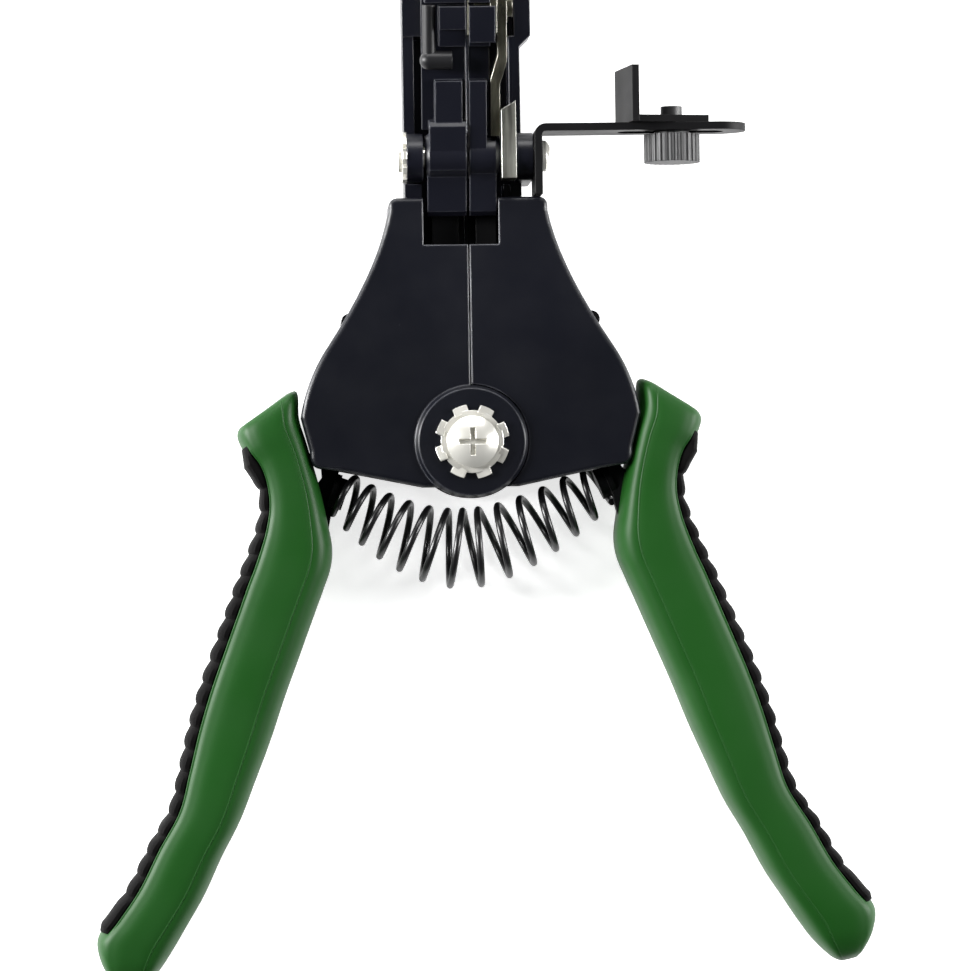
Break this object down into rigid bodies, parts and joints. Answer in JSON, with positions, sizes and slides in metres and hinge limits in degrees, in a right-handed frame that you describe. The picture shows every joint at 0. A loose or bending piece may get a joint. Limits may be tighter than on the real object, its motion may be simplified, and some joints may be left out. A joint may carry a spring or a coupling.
{
  "type": "automatic wire stripper",
  "caption": "Hand-held automatic wire stripper: spring-loaded grips close paired jaws on a wire and spread them apart to pull off the insulation, with a sliding length stop.",
  "frame": {"origin": "main pivot axis, in the plane of the flat back that the tool lies on", "axes": "+Y from the pivot to the jaw tips, +X to the stripping jaws and the length stop, +Z out of the front"},
  "size_m": [0.1453, 0.1984, 0.0273],
  "materials": {
    "cast": "satin blue-black, fine moulded grain",
    "black_steel": "satin black oxide",
    "spring_steel": "gloss black spring wire",
    "grip_green": "soft semi-gloss moulded plastic",
    "insert_black": "matt ribbed rubber",
    "knob_black": "fluted, satin",
    "plain_steel": "ground and oiled",
    "bright_steel": "bright nickel plate"
  },
  "bodies": {
    "body_left": {"frame_left": "cast", "cover_left": "cast", "body_screws_left": "plain_steel", "pivot_sleeve": "bright_steel", "pivot_screw": "bright_steel", "pivot_lock_washer": "bright_steel", "spring_stud_left": "black_steel", "lower_grip_pad": "plain_steel", "jaw_pin_left": "bright_steel", "jaw_lock_washer": "bright_steel", "handle_spring": "spring_steel", "frame_spring": "plain_steel"},
    "body_right": {"frame_right": "cast", "cover_right": "cast", "body_screws_right": "plain_steel", "spring_stud_right": "black_steel", "lower_blade": "plain_steel", "blade_clamp": "plain_steel", "lower_blade_screws": "plain_steel", "jaw_pin_right": "bright_steel", "stop_bracket": "black_steel"},
    "handle_left": {"lever_left": "black_steel", "grip_left": "grip_green", "grip_insert_left": "insert_black"},
    "handle_right": {"lever_right": "black_steel", "grip_right": "grip_green", "grip_insert_right": "insert_black"},
    "jaw_left": {"upper_jaw_left": "cast", "upper_grip_pad": "plain_steel", "pad_retainer": "black_steel"},
    "jaw_right": {"upper_jaw_right": "cast", "upper_blade": "plain_steel", "blade_arm": "plain_steel", "upper_blade_screws": "plain_steel"},
    "wedge_left": {"jaw_wedge_left": "black_steel"},
    "wedge_right": {"jaw_wedge_right": "black_steel"},
    "latch": {"release_latch": "bright_steel"},
    "slider": {"stop_slider": "black_steel"},
    "thumb": {"thumb_screw": "knob_black"}
  },
  "joints": [
    {"name": "spread", "type": "hinge", "parent": "body_left", "child": "body_right", "pos_m": [0, 0, 0.009], "axis": [0, 0, -1], "range_deg": [0, 16], "stiffness_Nm_per_rad": 3, "springref_deg": -5.73, "deforming": ["frame_spring"]},
    {"name": "squeeze_left", "type": "hinge", "parent": "body_left", "child": "handle_left", "pos_m": [0, 0, 0.009], "axis": [0, 0, 1], "range_deg": [0, 12], "stiffness_Nm_per_rad": 2, "springref_deg": -8.59, "deforming": ["handle_spring"]},
    {"name": "squeeze_right", "type": "hinge", "parent": "body_right", "child": "handle_right", "pos_m": [0, 0, 0.009], "axis": [0, 0, -1], "range_deg": [0, 12]},
    {"name": "jaw_left_close", "type": "hinge", "parent": "body_left", "child": "jaw_left", "pos_m": [-0.004, 0.0529, 0.0155], "axis": [-1, 0, 0], "range_deg": [0, 12]},
    {"name": "jaw_right_close", "type": "hinge", "parent": "body_right", "child": "jaw_right", "pos_m": [0.004, 0.0529, 0.0155], "axis": [-1, 0, 0], "range_deg": [0, 12]},
    {"name": "wedge_left_pull", "type": "slide", "parent": "body_left", "child": "wedge_left", "axis": [0, -1, 0], "range_m": [0, 0.00354]},
    {"name": "wedge_right_pull", "type": "slide", "parent": "body_right", "child": "wedge_right", "axis": [0, -1, 0], "range_m": [0, 0.00354]},
    {"name": "latch_trip", "type": "hinge", "parent": "body_right", "child": "latch", "pos_m": [0.008, 0.0529, 0.0155], "axis": [1, 0, 0], "range_deg": [0, 8]},
    {"name": "stop_slide", "type": "slide", "parent": "body_right", "child": "slider", "axis": [1, 0, 0], "range_m": [-0.0065, 0.006]},
    {"name": "thumb_turn", "type": "hinge", "parent": "slider", "child": "thumb", "pos_m": [0.03822, 0.05717, 0.0155], "axis": [0, 1, 0], "continuous": true}
  ],
  "couplings": [
    {"joint": "squeeze_right", "follows": "squeeze_left", "ratio": 1},
    {"joint": "jaw_left_close", "follows": "squeeze_left", "ratio": 1},
    {"joint": "jaw_right_close", "follows": "squeeze_left", "ratio": 1},
    {"joint": "wedge_left_pull", "follows": "squeeze_left", "m_per_rad": 0.0169},
    {"joint": "wedge_right_pull", "follows": "squeeze_left", "m_per_rad": 0.0169},
    {"joint": "latch_trip", "follows": "spread", "ratio": 0.5}
  ]
}
